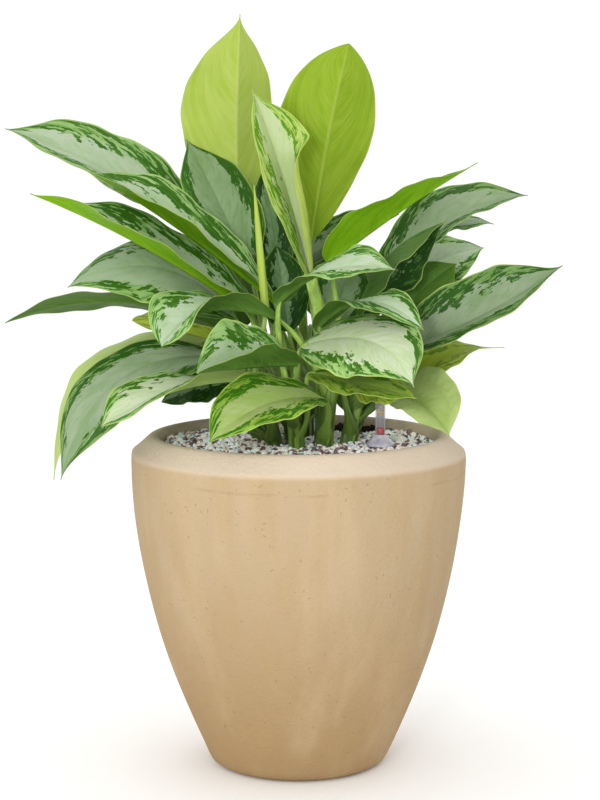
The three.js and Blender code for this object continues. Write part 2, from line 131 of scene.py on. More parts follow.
def gridFaces(rows, columns, closed=False, first=0):
    # quads between neighbouring rows; closed joins the last column to the first
    span = columns if closed else columns - 1
    i, j = np.meshgrid(np.arange(rows - 1), np.arange(span), indexing="ij")
    k = (j + 1) % columns
    quads = np.stack([i * columns + j, (i + 1) * columns + j, (i + 1) * columns + k, i * columns + k], -1)
    return quads.reshape(-1, 4) + first


def fanFaces(centre, ring, flip=False):
    # triangles from one centre point to a closed ring of points
    after = np.roll(ring, -1)
    a, b = (after, ring) if flip else (ring, after)
    return np.stack([np.full(len(ring), centre), a, b], -1)


def cappedTube(rows, sides, first=0, flip=False):
    # rings of points joined by quads, and a fan at each end round the two points that come after them
    grid = gridFaces(rows, sides, closed=True, first=first)
    ring, end = np.arange(sides) + first, first + rows * sides
    last = ring + (rows - 1) * sides
    if flip:
        return [grid, fanFaces(end, ring), fanFaces(end + 1, last, flip=True)]
    return [grid[:, ::-1], fanFaces(end, ring, flip=True), fanFaces(end + 1, last)]


def addObject(name, data, place=(0, 0, 0)):
    obj = bpy.data.objects.new(name, data)
    obj.location = place
    bpy.context.scene.collection.objects.link(obj)
    return obj


def meshPiece(name, points, faces, replaced, materials, which=None, uv=None, values=None, sharp=None):
    # faces is a list of index arrays; which gives each array's material number
    mesh = bpy.data.meshes.new(name)
    flat = [row for part in faces for row in part.tolist()]
    mesh.from_pydata((np.asarray(points) * mm).tolist(), [], flat)
    for material in materials:
        mesh.materials.append(material)
    if which is not None:
        number = np.concatenate([np.full(len(part), w, np.int32) for part, w in zip(faces, which)])
        mesh.polygons.foreach_set("material_index", number)
    mesh.polygons.foreach_set("use_smooth", np.ones(len(flat), bool))
    corner = np.empty(len(mesh.loops), np.int32)
    mesh.loops.foreach_get("vertex_index", corner)
    if uv is not None:
        layer = mesh.uv_layers.new(name="surface")
        layer.data.foreach_set("uv", np.asarray(uv, np.float32)[corner].ravel())
    for key, value in (values or {}).items():
        mesh.attributes.new(key, "FLOAT", "POINT").data.foreach_set(
            "value", np.broadcast_to(np.asarray(value, np.float32), len(points)).copy())
    if sharp is not None:
        ends = np.empty(len(mesh.edges) * 2, np.int32)
        mesh.edges.foreach_get("vertices", ends)
        group = np.asarray(sharp)[ends.reshape(-1, 2)]
        hard = (group[:, 0] > 0) & (group[:, 0] == group[:, 1])
        mesh.edges.foreach_set("use_edge_sharp", hard)
    mesh.update()
    piece = addObject(name, mesh)
    if replaced:
        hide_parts(*replaced)
    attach(piece, "root")
    return piece


def lathe(profile, sides, centre=(0.0, 0.0), shift=None):
    # a closed profile of (radius, height) pairs turned about a vertical axis: x = r cos a, y = r sin a
    # shift(radius, height, angle) gives a small change of the radius
    profile = np.asarray(profile, float)
    angle = np.arange(sides) * 2 * pi / sides
    r = np.repeat(profile[:, :1], sides, 1)
    z = np.repeat(profile[:, 1:], sides, 1)
    if shift is not None:
        r = r + shift(r, z, angle[None, :])
    points = np.stack([centre[0] + r * np.cos(angle), centre[1] + r * np.sin(angle), z], -1)
    return points.reshape(-1, 3)


def framesAlong(path, first):
    # directions along the path, and a side direction carried along it without twist
    along = np.gradient(path, axis=0)
    along /= np.linalg.norm(along, axis=1)[:, None]
    side = np.empty_like(along)
    last = np.asarray(first, float)
    for i, a in enumerate(along):
        last = last - a * last.dot(a)
        last = last / np.linalg.norm(last)
        side[i] = last
    return along, side, np.cross(along, side)


def unit(v):
    v = np.asarray(v, float)
    return v / np.linalg.norm(v, axis=-1, keepdims=True)


def smooth01(x):
    x = np.clip(x, 0, 1)
    return x * x * (3 - 2 * x)


# planter

planter = {
    "foot": 92, "belly": 202.5, "bellyTop": 378, "spread": 97, "power": 1.87,
    "wall": 14, "floor": 16, "sides": 256, "bands": 0.6, "wander": 0.7, "toolLine": 0.352,
    # deep is painted shade low on the pot; pale is painted light on the rim and inner wall; the dent tone is painted
    # shade in the dents and the tool line
    "colour": tone(173, 152, 121), "deep": tone(160, 130, 88), "pale": tone(207, 192, 173),
    "bandTone": tone(168, 141, 100), "cloudTone": tone(190, 169, 137), "recessShadeTone": tone(146, 112, 68),
}


def bellyAt(z):
    # radius: belly - spread * (distance below the shoulder, 0..1) ** power
    top = planter["bellyTop"] - 3
    return planter["belly"] - planter["spread"] * (np.maximum(top - z, 0) / top) ** planter["power"]


def clayMaterial():
    g = Graph("sandClay")
    at = g.place()
    height = g.part(at, 2)
    bands = g.noise(g.place(0.12), 26, 3, 0.55)
    cloud = g.noise(g.place(0.25), 13, 4, 0.6)
    sand = g.noise(at, 900, 3, 0.6)
    # painted shade: the pot is painted darker and warmer towards the foot, for shade and warm bounce light there
    low = g.step(height, 0.33, 0.02)
    colour = g.mix(g.times(low, 0.8), planter["colour"], planter["deep"])
    colour = g.mix(g.step(bands, 0.42, 0.60, 0, 0.36), colour, planter["bandTone"])
    colour = g.mix(g.step(cloud, 0.45, 0.7, 0, 0.35), colour, planter["cloudTone"])
    # painted light: the rim bevel and the inner wall above the bed are painted paler, a painted highlight on the
    # bevel and painted light on the shaded inner wall
    rim = g.step(height, 0.377, 0.386)
    colour = g.mix(g.times(rim, 0.8), colour, planter["pale"])

    # pits: small dents where a cell of the pattern is picked by its own random number, drawn out a little
    def pits(scale, share, size, flat):
        cells = g.tree.nodes.new("ShaderNodeTexVoronoi")
        bent = g.add("MixRGB", {0: 0.02, 1: at, 2: g.noise(at, 90, 2, out=1)})
        g.plug(cells.inputs["Vector"], g.add("Mapping", {"Vector": bent, "Scale": (1, 1, flat)}))
        cells.inputs["Scale"].default_value = scale
        picked = g.step(g.part(cells.outputs["Color"], 0), 1 - share, 1 - share + 0.05)
        return g.times(g.step(cells.outputs["Distance"], size, size * 0.4), picked)

    where = g.step(g.noise(at, 11, 2), 0.32, 0.58, 0.25, 1.0)
    where = g.times(where, g.step(height, 0.386, 0.377))
    hole = g.times(g.calc("MAXIMUM", pits(80, 0.10, 0.16, 1.2), pits(210, 0.16, 0.26, 0.8)), where)
    # painted shade: the dents are painted a little darker
    colour = g.mix(g.times(hole, 0.05), colour, planter["recessShadeTone"])
    colour = g.mix(g.step(sand, 0.35, 0.75, 0, 0.14), colour, tone(170, 140, 96))
    grainy = g.times(sand, 0.12)
    waves = g.plus(g.times(g.noise(at, 60, 4, 0.62), 0.50),
                   g.times(g.noise(at, 240, 3, 0.6), 0.34))
    relief = g.minus(g.plus(grainy, waves), g.times(hole, 0.34))
    # the faint wavy line that a tool left under the bevel
    line = g.plus(height, g.times(g.noise(at, 7, 2), -0.022))
    line = g.calc("ABSOLUTE", g.minus(line, planter["toolLine"]))
    line = g.times(g.step(line, 0.0020, 0.0003), g.step(g.noise(at, 13, 2), 0.40, 0.60))
    relief = g.minus(relief, g.times(line, 0.30))
    # painted shade: the tool line is painted a little darker
    colour = g.mix(g.times(line, 0.12), colour, planter["recessShadeTone"])
    rough = g.step(sand, 0.2, 0.8, 0.80, 0.95)
    return g.finish(colour, rough, relief, 0.0022, 1.0, Specular_IOR_Level=0.2)


def buildPlanter():
    p = planter
    z = np.concatenate([[0, 0.6, 2.2, 6], np.linspace(12, 372, 74)])
    r = bellyAt(z)
    r[:4] = [p["foot"] - 2, p["foot"], bellyAt(np.array([0.0]))[0] - 3.4, bellyAt(np.array([6.0]))[0] - 0.6]
    outside = np.stack([r, z], 1)
    shoulder = [(202.4, 378), (202.3, 381), (201.6, 383.4), (199.8, 385.2), (196.5, 387.9), (192, 391.9),
                (187.5, 396), (184, 399.2), (181.2, 401.6), (178.5, 403.1), (175.5, 403.9), (173, 403.9),
                (170.6, 402.9), (168.6, 400.8), (167.4, 397.6), (167, 393), (167, 386), (168.2, 379)]
    inner = [(178, 364), *[(bellyAt(h) - p["wall"], h) for h in (348.0, 220.0, 85.0)],
             (bellyAt(20.0) - 16, 22), (bellyAt(16.0) - 22, 16)]
    profile = np.vstack([outside, shoulder, inner])

    def shift(radius, height, angle):
        # shallow upright bands and a slow wander of the hand-finished wall; the lip stays true
        body = smooth01((386 - height) / 14) * smooth01(height / 30) * (radius > bellyAt(height) - 6)
        bands = np.sin(11 * angle + 0.9 * np.sin(3 * angle)) + 0.7 * np.sin(23 * angle + 2 * np.sin(2 * angle + 1))
        wander = np.sin(3 * angle + height / 47) + np.sin(5 * angle - height / 31 + 2)
        edge = np.exp(-((height - 384) / 5) ** 2) * np.sin(9 * angle + 2 * np.sin(4 * angle)) * 0.5
        tool = 0.28 * np.exp(-((height - 364 - 2.5 * np.sin(2 * angle) - np.sin(7 * angle)) / 1.8) ** 2)
        return body * (p["bands"] * bands * 0.5 + p["wander"] * wander * 0.5 - tool) + edge * (radius > 190)

    sides = p["sides"]
    points = np.vstack([lathe(profile, sides, shift=shift), [[0, 0, 0], [0, 0, p["floor"]]]])
    return meshPiece("clayPlanter", points, cappedTube(len(profile), sides), ["pot"], [clayMaterial()])


buildPlanter()
print("planter done")


# filling: a bed, loose stones on it and a patch of bare soil

filling = {
    "top": 389.1, "mouth": 165.5, "dip": 3, "spacing": 4.9, "stone": 3.1, "seed": 11,
    "patch": (76, 118), "patchRadius": 35, "heap": 5, "crumbs": 420, "crumbSize": (0.9, 2.8),
    "ballAt": (14, 18), "ball": [(96, 150.3), (118, 190), (122, 210), (122, 374), (118, 377)],
    "pale": tone(255, 250, 250), "pink": tone(246, 228, 224), "blue": tone(216, 242, 255), "dark": tone(92, 74, 80),
}

canes = {
    "A": {"foot": (-24, -16), "top": (-46, -30, 455), "radius": 8},
    "B": {"foot": (0, -34), "top": (-6, -50, 455), "radius": 8.5},
    "C": {"foot": (30, -24), "top": (36, -36, 455), "radius": 9},
    "D": {"foot": (58, -2), "top": (72, -4, 455), "radius": 8.5},
    "E": {"foot": (28, 18), "top": (32, 28, 490), "radius": 9},
    "F": {"foot": (-6, 16), "top": (-18, 30, 480), "radius": 9},
    "G": {"foot": (10, 56), "top": (6, 84, 465), "radius": 8},
    "H": {"foot": (58, 34), "top": (86, 46, 460), "radius": 8},
    "I": {"foot": (-38, 16), "top": (-66, 24, 450), "radius": 8},
}
soilTop = 378


def bedHeight(x, y):
    # level ground with small lumps, which dips where the soil is bare
    lumps = 0.8 * np.sin(x / 7.1 + 1) * np.sin(y / 6.3) + 0.5 * np.sin(x / 3.7 - y / 4.9)
    away = np.hypot(x - filling["patch"][0], y - filling["patch"][1]) / filling["patchRadius"]
    return filling["top"] + lumps - filling["dip"] * smooth01((1.25 - away) / 0.35)


def stoneMaterial(name, first, second, spots, rough):
    g = Graph(name)
    at = g.place()
    blotch = g.noise(at, 140, 3, 0.6)
    fine = g.noise(at, 1400, 2, 0.6)
    colour = g.mix(g.step(blotch, 0.38, 0.64), first, second)
    colour = g.mix(g.step(fine, 0.52, 0.72, 0, 0.5), colour, spots)
    return g.finish(colour, g.step(fine, 0.2, 0.8, rough - 0.1, rough + 0.05), fine, 0.0006, 0.8,
                    Specular_IOR_Level=0.3)


def soilMaterial():
    g = Graph("pottingSoil")
    at = g.place()
    lump = g.noise(at, 260, 5, 0.65)
    fleck = g.noise(at, 900, 2, 0.5)
    colour = g.mix(g.step(lump, 0.35, 0.7), tone(22, 16, 12), tone(64, 48, 36))
    colour = g.mix(g.step(fleck, 0.66, 0.74, 0, 0.6), colour, tone(118, 92, 66))
    return g.finish(colour, g.step(lump, 0.3, 0.7, 0.98, 0.82), lump, 0.003, 1.0, Specular_IOR_Level=0.2)


def buildBed():
    # polar grid: x = r cos a, y = r sin a, z = bedHeight; closed below by a ring and a centre
    rings, sides = 60, 160
    r = np.linspace(0.5, filling["mouth"], rings)[:, None]
    a = (np.arange(sides) * 2 * pi / sides)[None, :]
    x, y = r * np.cos(a), r * np.sin(a)
    top = np.stack([x, y, bedHeight(x, y)], -1)[::-1]
    wallHeights = np.array([370, 345, 220, 85, 16.4])
    wallRadii = np.append(174, bellyAt(wallHeights[1:]) - 16.0)
    wall = np.stack([wallRadii[:, None] * np.cos(a), wallRadii[:, None] * np.sin(a),
                     np.repeat(wallHeights[:, None], sides, 1)], -1)
    rows = np.concatenate([wall[::-1], top])
    points = np.vstack([rows.reshape(-1, 3), [[0, 0, 16.4], [0, 0, float(bedHeight(0.0, 0.0))]]])
    mat = stoneMaterial("bedGrit", tone(126, 110, 114), tone(70, 58, 62), tone(206, 196, 198), 0.9)
    return meshPiece("gritBed", points, cappedTube(len(rows), sides), ["granulate"], [mat])


# the twelve corners and twenty faces of a regular solid, the blank that each stone is cut from
golden = (1 + 5 ** 0.5) / 2
stoneCorners = unit([(-1, golden, 0), (1, golden, 0), (-1, -golden, 0), (1, -golden, 0), (0, -1, golden),
                     (0, 1, golden), (0, -1, -golden), (0, 1, -golden), (golden, 0, -1), (golden, 0, 1),
                     (-golden, 0, -1), (-golden, 0, 1)])
stoneFaces = np.array([(0, 11, 5), (0, 5, 1), (0, 1, 7), (0, 7, 10), (0, 10, 11), (1, 5, 9), (5, 11, 4),
                       (11, 10, 2), (10, 7, 6), (7, 1, 8), (3, 9, 4), (3, 4, 2), (3, 2, 6), (3, 6, 8),
                       (3, 8, 9), (4, 9, 5), (2, 4, 11), (6, 2, 10), (8, 6, 7), (9, 8, 1)])


def scatterStones(name, centres, size, rng, material):
    # every stone is the blank with each corner pushed in or out, stretched, turned and put down
    n = len(centres)
    push = rng.uniform(0.72, 1.12, (n, 12, 1))
    shape = stoneCorners[None] * push * rng.uniform(0.75, 1.15, (n, 1, 3))
    q = unit(rng.normal(size=(n, 4)))
    w, x, y, z = q.T
    turn = np.stack([1 - 2 * (y * y + z * z), 2 * (x * y - z * w), 2 * (x * z + y * w),
                     2 * (x * y + z * w), 1 - 2 * (x * x + z * z), 2 * (y * z - x * w),
                     2 * (x * z - y * w), 2 * (y * z + x * w), 1 - 2 * (x * x + y * y)], -1).reshape(n, 3, 3)
    points = np.einsum("nij,nkj->nki", turn, shape) * size[:, None, None] + centres[:, None, :]
    faces = (stoneFaces[None] + np.arange(n)[:, None, None] * 12).reshape(-1, 3)
    piece = meshPiece(name, points.reshape(-1, 3), [faces], [], [material])
    piece.data.polygons.foreach_set("use_smooth", np.zeros(len(faces), bool))
    return piece


def buildStones():
    f = filling
    rng = np.random.default_rng(f["seed"])
    step = f["spacing"]
    i, j = np.meshgrid(np.arange(-40, 41), np.arange(-40, 41))
    x = (i + 0.5 * (j % 2)) * step + rng.uniform(-1.5, 1.5, i.shape)
    y = j * step * 0.866 + rng.uniform(-1.5, 1.5, i.shape)
    x, y = x.ravel(), y.ravel()
    keep = np.hypot(x, y) < f["mouth"] - 3.5
    keep &= np.hypot(x - f["patch"][0], y - f["patch"][1]) > f["patchRadius"] * (0.86 + 0.12 * np.sin(x / 5))
    for cane in canes.values():
        keep &= np.hypot(x - cane["foot"][0], y - cane["foot"][1]) > cane["radius"] + 1.5
    keep &= np.hypot(x - gauge["at"][0], y - gauge["at"][1]) > gauge["collarFoot"] + 1
    x, y = x[keep], y[keep]
    n = len(x)
    size = f["stone"] * rng.choice([0.75, 1.0, 1.0, 1.25], n) * rng.uniform(0.85, 1.15, n)
    z = bedHeight(x, y) + size * rng.uniform(0.35, 0.9, n)
    centres = np.stack([x, y, z], 1)
    kind = rng.choice(4, n, p=[0.35, 0.17, 0.20, 0.28])
    looks = [("pumiceStones", f["pale"], tone(255, 246, 238), tone(228, 208, 196)),
             ("pinkStones", f["pink"], tone(244, 228, 218), tone(196, 168, 158)),
             ("blueStones", f["blue"], tone(250, 254, 255), tone(196, 228, 240)),
             ("lavaStones", f["dark"], tone(150, 128, 126), tone(70, 54, 56))]
    for number, (name, first, second, spots) in enumerate(looks):
        mine = kind == number
        scatterStones(name, centres[mine], size[mine], rng, stoneMaterial(name, first, second, spots, 0.85))
    return n


def heapAt(y):
    # the bare soil rises towards the back wall
    return filling["heap"] * smooth01((y - 100) / 40)


def buildSoil():
    # a block of soil round the roots, and the bare patch: a disc with lumps that rises to the back wall
    f = filling
    rings, sides = 26, 72
    r = np.linspace(0.4, f["patchRadius"] * 1.25, rings)[:, None]
    a = (np.arange(sides) * 2 * pi / sides)[None, :]
    x, y = f["patch"][0] + r * np.cos(a), f["patch"][1] + r * np.sin(a)
    reachOut = np.hypot(x, y) / (f["mouth"] - 1)
    x, y = x / np.maximum(reachOut, 1), y / np.maximum(reachOut, 1)
    lumps = 1.1 * np.sin(x / 2.3 + np.sin(y / 3)) * np.sin(y / 2.1 + 2 * np.sin(x / 5))
    lumps = lumps + 0.8 * np.sin(x / 1.3 + y / 1.7)
    edge = smooth01((r / (f["patchRadius"] * 1.25) - 0.75) / 0.25)
    heap = heapAt(y)
    top = np.stack([x, y, bedHeight(x, y) + 1.0 + lumps + heap - (4 + heap) * edge], -1)[::-1]
    low = top[:1].copy()
    low[..., 2] = 372
    rows = np.concatenate([low, top])
    points = np.vstack([rows.reshape(-1, 3), [[*f["patch"], 372.0], [*f["patch"], 379.0]]])
    # the block round the roots, under the grit
    ball, middle = f["ball"], f["ballAt"]
    parts = cappedTube(len(rows), sides) + cappedTube(len(ball), 48, first=len(points))
    points = np.vstack([points, lathe(ball, 48, middle), [[*middle, ball[0][1]], [*middle, ball[-1][1]]]])
    earth = soilMaterial()
    meshPiece("soilBlock", points, parts, ["root_ball"], [earth])
    rng = np.random.default_rng(5)
    n = f["crumbs"]
    turn, far = rng.uniform(0, 2 * pi, n), f["patchRadius"] * np.sqrt(rng.uniform(0, 1.2, n))
    x, y = f["patch"][0] + far * np.cos(turn), f["patch"][1] + far * np.sin(turn)
    inside = np.hypot(x, y) < f["mouth"] - 3
    x, y = x[inside], y[inside]
    z = bedHeight(x, y) + 2.2 + heapAt(y) + rng.uniform(-0.6, 1.2, len(x))
    scatterStones("soilCrumbs", np.stack([x, y, z], 1), rng.uniform(*f["crumbSize"], len(x)), rng, earth)


# water level gauge

gauge = {
    "at": (98, -32), "outer": 6, "inner": 4.4, "low": 60, "high": 448, "rod": 1.6, "float": 3.8, "floatLength": 60,
    "rodTop": 407, "collarFoot": 17.2, "collarTop": 7.6, "collarLow": 393.2, "collarHeight": 14,
    "marks": [(433.6, 0.66, 1.2), (437.4, 0.42, 0.8), (440.6, 0.24, 0.7)],  # height, half angle, thickness
}


def clearMaterial(name, colour, alpha, rough):
    g = Graph(name)
    at = g.place()
    haze = g.noise(at, 60, 3, 0.5)
    tint = g.mix(g.step(haze, 0.35, 0.7), colour, tone(244, 244, 250))
    g.shader.inputs["Alpha"].default_value = alpha
    g.mat.surface_render_method = "BLENDED"
    return g.finish(tint, g.step(haze, 0.3, 0.7, rough, rough + 0.08), haze, 0.0002, 0.3, Coat_Weight=0.4)


def plainMaterial(name, colour, second, rough):
    g = Graph(name)
    at = g.place()
    cloud = g.noise(at, 300, 3, 0.55)
    return g.finish(g.mix(g.step(cloud, 0.35, 0.7), colour, second), g.step(cloud, 0.3, 0.7, rough, rough + 0.12),
                    cloud, 0.0002, 0.5)


def turnedPiece(name, profile, sides, replaced, material):
    # a closed ring-shaped profile, or one that starts and ends on the axis
    profile = np.asarray(profile, float)
    solid = profile[0, 0] == 0
    rows = profile[1:-1] if solid else profile
    points = lathe(rows, sides, gauge["at"])
    if solid:
        points = np.vstack([points, [[*gauge["at"], profile[0, 1]], [*gauge["at"], profile[-1, 1]]]])
        parts = cappedTube(len(rows), sides)
    else:
        j = np.arange(sides)
        k = (j + 1) % sides
        last = (len(rows) - 1) * sides
        parts = [gridFaces(len(rows), sides, closed=True)[:, ::-1], np.stack([j, k, last + k, last + j], -1)]
    return meshPiece(name, points, parts, replaced, [material])


def buildGauge():
    q = gauge
    low, high = q["low"], q["high"]
    inner, outer = q["inner"], q["outer"]
    tube = turnedPiece("gaugeTube", [(inner, low + 0.4), (inner + 0.4, low), (outer - 0.4, low), (outer, low + 0.4),
                                     (outer, high - 0.6), (outer - 0.5, high), (inner + 0.5, high),
                                     (inner, high - 0.6)], 40, ["gauge_tube"],
                       clearMaterial("clearTube", tone(252, 251, 255), 0.05, 0.10))
    # the half of the tube behind the float is milky
    tube.data.materials.append(clearMaterial("milkyTube", tone(250, 249, 253), 0.75, 0.3))
    middle = np.empty(len(tube.data.polygons) * 3)
    tube.data.polygons.foreach_get("center", middle)
    behind = middle.reshape(-1, 3)[:, 1] > (q["at"][1] + 1) * mm
    tube.data.polygons.foreach_set("material_index", behind.astype(np.int32))
    foot, top, rest, tall = q["collarFoot"], q["collarTop"], q["collarLow"], q["collarHeight"]
    bell = [(top + (foot - top) * (1 - t) ** 1.1, rest + 3.2 + (tall - 4) * t) for t in np.linspace(0, 1, 14)]
    turnedPiece("gaugeCollar", [(6.4, rest), (foot - 0.6, rest), (foot, rest + 0.8), *bell,
                                (top - 0.6, rest + tall), (6.4, rest + tall)], 48, ["gauge_collar"],
                clearMaterial("collarPlastic", tone(186, 178, 200), 0.82, 0.14))
    head, long = q["rodTop"], q["floatLength"]
    wide, rod = q["float"], q["rod"]
    turnedPiece("gaugeFloat", [(0, low + 2), (wide - 0.8, low + 2), (wide, low + 3), (wide, low + long - 2),
                               (wide - 0.8, low + long), (rod, low + long + 4), (rod, head),
                               (wide - 0.6, head + 0.6), (wide, head + 1.4), (wide, head + 6.4),
                               (wide - 0.8, head + 7.6), (0, head + 8)], 24, ["gauge_float"],
                plainMaterial("floatRed", tone(196, 18, 8), tone(170, 12, 6), 0.35))
    # level marks: short curved bars on the front of the tube, a radius and two angles for each
    parts, points = [], []
    for z, wide, tall in q["marks"]:
        angle = np.linspace(-pi / 2 - wide, -pi / 2 + wide, 9)
        ring = []
        for radius, height in [(outer + 0.05, z), (outer + 0.35, z), (outer + 0.35, z + tall),
                               (outer + 0.05, z + tall)]:
            ring.append(np.stack([q["at"][0] + radius * np.cos(angle), q["at"][1] + radius * np.sin(angle),
                                  np.full(9, height)], -1))
        start = sum(len(p) for p in points)
        block = np.stack(ring, 1).reshape(-1, 3)
        points.append(block)
        parts += [gridFaces(9, 4, closed=True, first=start)[:, ::-1],
                  np.array([[start, start + 1, start + 2, start + 3]])[:, ::-1],
                  np.array([[start + 32, start + 33, start + 34, start + 35]])]
    marks = meshPiece("gaugeMarks", np.vstack(points), parts, [], [
        plainMaterial("markYellow", tone(226, 180, 44), tone(206, 160, 30), 0.5)])
    marks.data.polygons.foreach_set("use_smooth", np.zeros(len(marks.data.polygons), bool))


buildBed()
print("stones:", buildStones())
buildSoil()
buildGauge()
print("filling and gauge done")


# stems

stem = {"steps": 44, "sides": 28, "ring": 0.45, "clasp": 58, "depth": 40}


def stemMaterial(name, colour, dark, pale):
    g = Graph(name)
    uv = g.add("UVMap", uv_map="surface")
    x, y = g.part(uv, 0), g.part(uv, 1)
    seed = g.value("seed")
    streak = g.noise(g.vector(g.times(x, 1.5), g.times(y, 26), seed), 1, 3, 0.6)
    cloud = g.noise(g.vector(g.times(x, 5), g.times(y, 4), seed), 1, 3, 0.6)
    colour = g.mix(g.step(streak, 0.35, 0.65), colour, pale)
    colour = g.mix(g.step(cloud, 0.42, 0.7, 0, 0.7), colour, dark)
    # painted shade: stems and stalks are painted darker towards their feet, where they crowd under the leaves
    height = g.part(g.place(), 2)
    colour = g.mix(g.step(height, 0.50, 0.40, 0, 0.75), colour, dark)
    scars = g.value("scar")
    colour = g.mix(g.times(scars, 0.75), colour, tone(96, 84, 48))
    relief = g.plus(g.times(streak, 0.6), g.times(cloud, 0.4))
    return g.finish(colour, g.step(streak, 0.3, 0.7, 0.42, 0.6), relief, 0.0005, 0.8)


def stemFrame(cane):
    foot = np.array([*cane["foot"], soilTop], float)
    top = np.array(cane["top"], float)
    return foot, top, unit(top - foot)


def buildStem(letter, cane, material):
    # a round stem: radius = cane radius + rings at the leaf scars, drawn in at the rounded top
    foot, top, along = stemFrame(cane)
    s = np.linspace(0, 1, stem["steps"])
    start = foot - along * stem["depth"]
    length = np.linalg.norm(top - start)
    path = start + s[:, None] * (top - start)
    scars = sum(np.exp(-((s - at) / 0.012) ** 2) for at in (0.40, 0.56, 0.71, 0.86))
    radius = cane["radius"] - 1.5 * smooth01((s - 0.5) / 0.5) + stem["ring"] * scars
    radius = radius * np.sqrt(np.clip(1 - ((s - 0.95) / 0.0501) ** 2 * (s > 0.95), 0.02, 1))
    _, side, other = framesAlong(path, (0.31, 0.95, 0.05))
    angle = np.arange(stem["sides"]) * 2 * pi / stem["sides"]
    wob = 1 + 0.03 * np.sin(3 * angle[None, :] + 9 * s[:, None])
    offset = side[:, None] * np.cos(angle)[None, :, None] + other[:, None] * np.sin(angle)[None, :, None]
    points = (path[:, None] + offset * (radius[:, None] * wob)[..., None]).reshape(-1, 3)
    n = stem["sides"]
    uv = np.stack(np.broadcast_arrays(s[:, None] * length / 100, np.abs(angle / pi - 1)[None, :]), -1).reshape(-1, 2)
    points = np.vstack([points, path[:1], path[-1:]])
    uv = np.vstack([uv, [[0, 0]], [[1, 0]]])
    scar = np.append(np.repeat(np.clip(scars, 0, 1), n), [0, 0])
    return meshPiece("stem" + letter, points, cappedTube(len(s), n), ["cane_" + letter], [material],
                     uv=uv, values={"seed": ord(letter) * 3.7, "scar": scar})


stemGreen = stemMaterial("stemGreen", tone(88, 112, 36), tone(56, 80, 20), tone(118, 144, 58))
for letter, cane in canes.items():
    buildStem(letter, cane, stemGreen)
print("stems done")


# leaf materials

# a leaf's colours, and where its markings lie: silver reaches out to edge (0 middle, 1 margin), flecks of
# green lie closest in the band beyond it, and more of them show where fleck is lower
lookNames = ("silver", "silverDeep", "mid", "pale", "dark", "edge", "band", "fleck")
lookRows = {
    "silver": ((168, 184, 156), (150, 172, 132), (104, 148, 66), (140, 174, 106), (52, 98, 18), 0.55, 0.2, 0.525),
    "busy": ((172, 188, 160), (156, 178, 136), (100, 144, 60), (144, 178, 112), (50, 96, 16), 0.4, 0.4, 0.5),
    # shady, dusky and deep are darker copies of the marked look: painted shade for leaves that lie in shadow
    "shady": ((140, 156, 126), (122, 144, 106), (78, 116, 50), (110, 142, 80), (42, 82, 20), 0.58, 0.22, 0.5),
    "dusky": ((136, 160, 120), (120, 148, 98), (68, 110, 40), (90, 132, 60), (48, 90, 22), 0.62, 0.3, 0.45),
    # clear is a lighter copy of the marked look: painted light for front leaves that their tilt would shade
    "clear": ((186, 197, 166), (170, 188, 142), (110, 152, 66), (148, 180, 108), (54, 100, 20), 0.58, 0.2, 0.515),
    "fresh": ((160, 176, 114), (142, 166, 88), (94, 138, 34), (134, 166, 64), (54, 102, 14), 0.5, 0.24, 0.51),
    "young": ((182, 196, 150), (170, 190, 126), (134, 168, 58), (170, 192, 102), (86, 136, 22), 0.5, 0.18, 0.525),
    "zesty": ((140, 168, 74), (126, 158, 54), (110, 148, 34), (148, 174, 64), (72, 118, 14), 0.42, 0.2, 0.54),
    "yellow": ((160, 180, 50), (148, 170, 40), (142, 166, 32), (172, 188, 60), (98, 134, 12), 0.4, 0.26, 0.55),
    "deep": ((116, 142, 104), (94, 126, 78), (48, 88, 26), (64, 104, 40), (26, 60, 12), 0.34, 0.34, 0.44),
    "leafy": ((92, 130, 54), (80, 120, 44), (78, 118, 40), (92, 130, 52), (64, 104, 30), 0.5, 0.05, 0.68),
    "plain": ((168, 188, 114), (154, 178, 96), (156, 180, 96), (168, 188, 114), (144, 170, 86), 0.6, 0.05, 0.9),
    # lime is the light green of these leaves, made brighter as painted light for leaves lit through from behind
    "lime": ((168, 190, 74), (154, 182, 52), (158, 184, 56), (174, 196, 86), (142, 172, 42), 0.55, 0.02, 0.95),
}
looks = {name: {key: tone(*x) if isinstance(x, tuple) else x for key, x in zip(lookNames, row)}
         for name, row in lookRows.items()}


def leafCoordinates(g):
    # u runs along the leaf, v across it from -1 to 1, w is the same all along one side vein
    uv = g.add("UVMap", uv_map="surface")
    u = g.part(uv, 0)
    v = g.calc("MULTIPLY_ADD", g.part(uv, 1), 2.0, -1.0)
    a = g.calc("ABSOLUTE", v)
    bend = g.plus(g.times(a, 0.24), g.times(g.calc("POWER", a, 3.0), 0.42))
    w = g.minus(u, bend)
    seed = g.value("seed")
    shade = g.value("shade")
    return u, v, a, w, seed, shade


def fleckCoordinates(g, u, v, a, seed):
    # across is the same along a fleck, far runs along it, and each half of the blade has a pattern of its own
    lean = g.plus(g.times(a, 0.35), g.times(g.calc("POWER", a, 2.0), 0.28))
    across = g.minus(u, lean)
    far = g.plus(u, g.times(a, 0.3))
    half = g.plus(seed, g.times(g.calc("SIGN", v), 31))
    return across, far, half


def veinLines(g, w, a):
    # thin lines along the side veins, from a wave in w that a slow noise breaks up
    wave = g.calc("COSINE", g.times(w, 2 * pi * 13))
    return g.times(g.step(wave, 0.88, 1.0), g.step(a, 1.0, 0.3))


# painted shade: a leaf's colours are darkened by its shade value, for leaves that lie in shadow
def darker(g, colour, shade):
    return g.mix(g.times(shade, 0.85), colour, g.mix(1.0, colour, tone(126, 150, 104), "MULTIPLY"))


